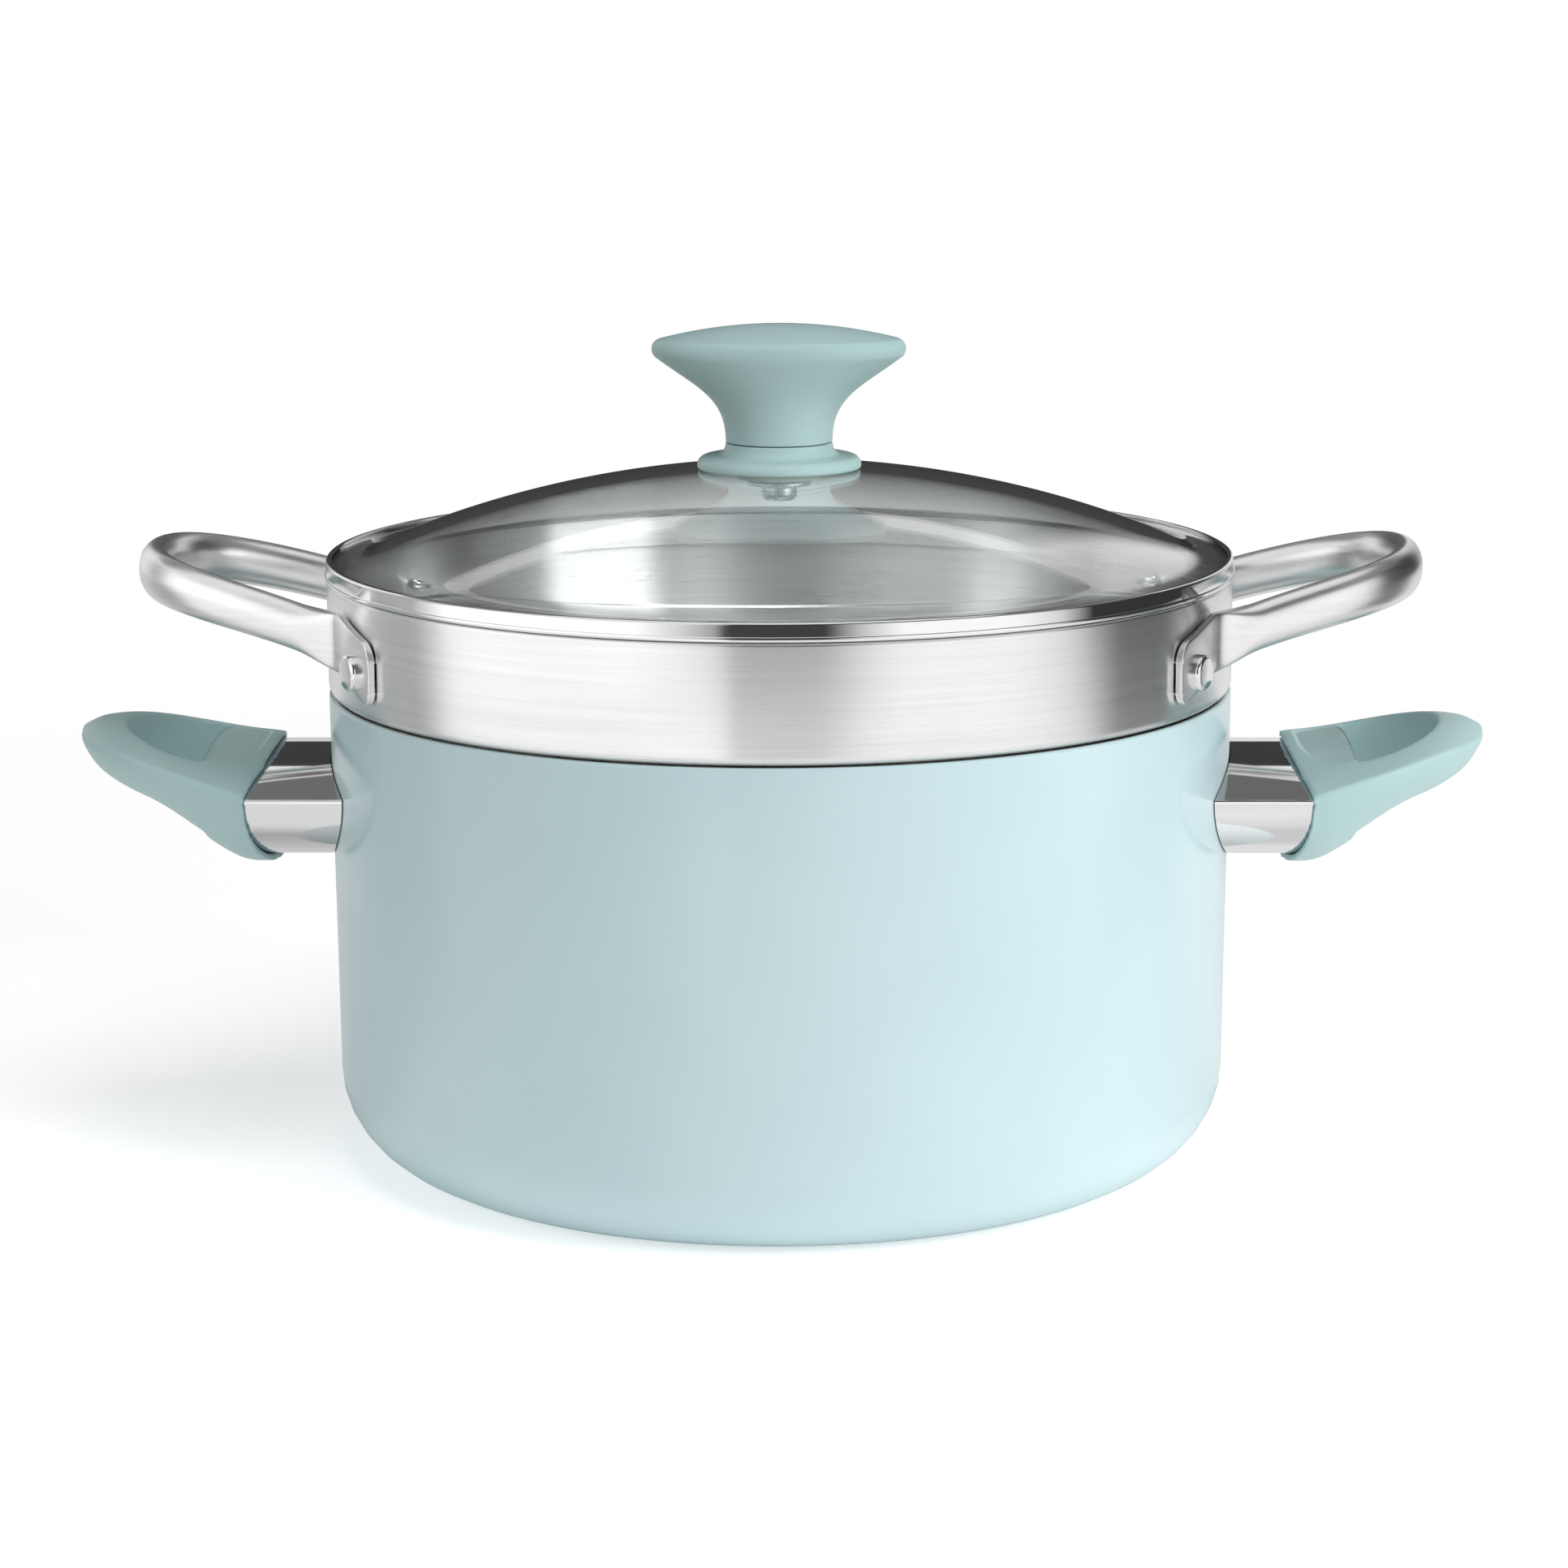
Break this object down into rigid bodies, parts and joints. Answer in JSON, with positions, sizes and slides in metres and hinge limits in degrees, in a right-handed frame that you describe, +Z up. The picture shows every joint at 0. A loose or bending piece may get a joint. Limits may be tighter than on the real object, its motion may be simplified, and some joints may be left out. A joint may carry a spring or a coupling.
{
  "type": "pasta pot",
  "caption": "Painted stock pot with a lift-out perforated steel pasta insert, a domed glass lid with a steel rim, looped steel insert handles and moulded side grips.",
  "frame": {"origin": "middle of the pot's foot, on the surface it stands on", "axes": "+X towards the right-hand handles, +Y towards the back, +Z up along the pot's axis"},
  "size_m": [0.3798, 0.2442, 0.2251],
  "materials": {
    "aqua_paint": "gloss",
    "aqua_plastic": "satin",
    "brushed_steel": "satin",
    "satin_steel": "polished",
    "bright_steel": "polished",
    "plain_steel": "satin",
    "lid_glass": "polished",
    "silicone": "matte"
  },
  "bodies": {
    "pot": {"pot_shell": "aqua_paint", "left_handle_stud": "plain_steel", "right_handle_stud": "plain_steel", "left_ferrule": "bright_steel", "right_ferrule": "bright_steel", "left_grip": "aqua_plastic", "right_grip": "aqua_plastic", "left_grip_screw": "plain_steel", "right_grip_screw": "plain_steel"},
    "insert": {"pasta_insert": "brushed_steel", "left_loop_handle": "satin_steel", "right_loop_handle": "satin_steel", "left_front_rivet": "satin_steel", "left_rear_rivet": "satin_steel", "right_front_rivet": "satin_steel", "right_rear_rivet": "satin_steel"},
    "lid": {"lid_glass": "lid_glass", "lid_rim": "bright_steel", "knob_collar": "aqua_plastic", "knob": "aqua_plastic", "knob_nut": "plain_steel", "lid_gasket": "silicone", "knob_washer": "plain_steel", "knob_screw": "plain_steel"}
  },
  "joints": [
    {"name": "insert_lift", "type": "slide", "parent": "pot", "child": "insert", "axis": [0, 0, 1], "range_m": [0, 0.14]},
    {"name": "lid_lift", "type": "slide", "parent": "insert", "child": "lid", "axis": [0, 0, 1], "range_m": [0, 0.12]}
  ]
}
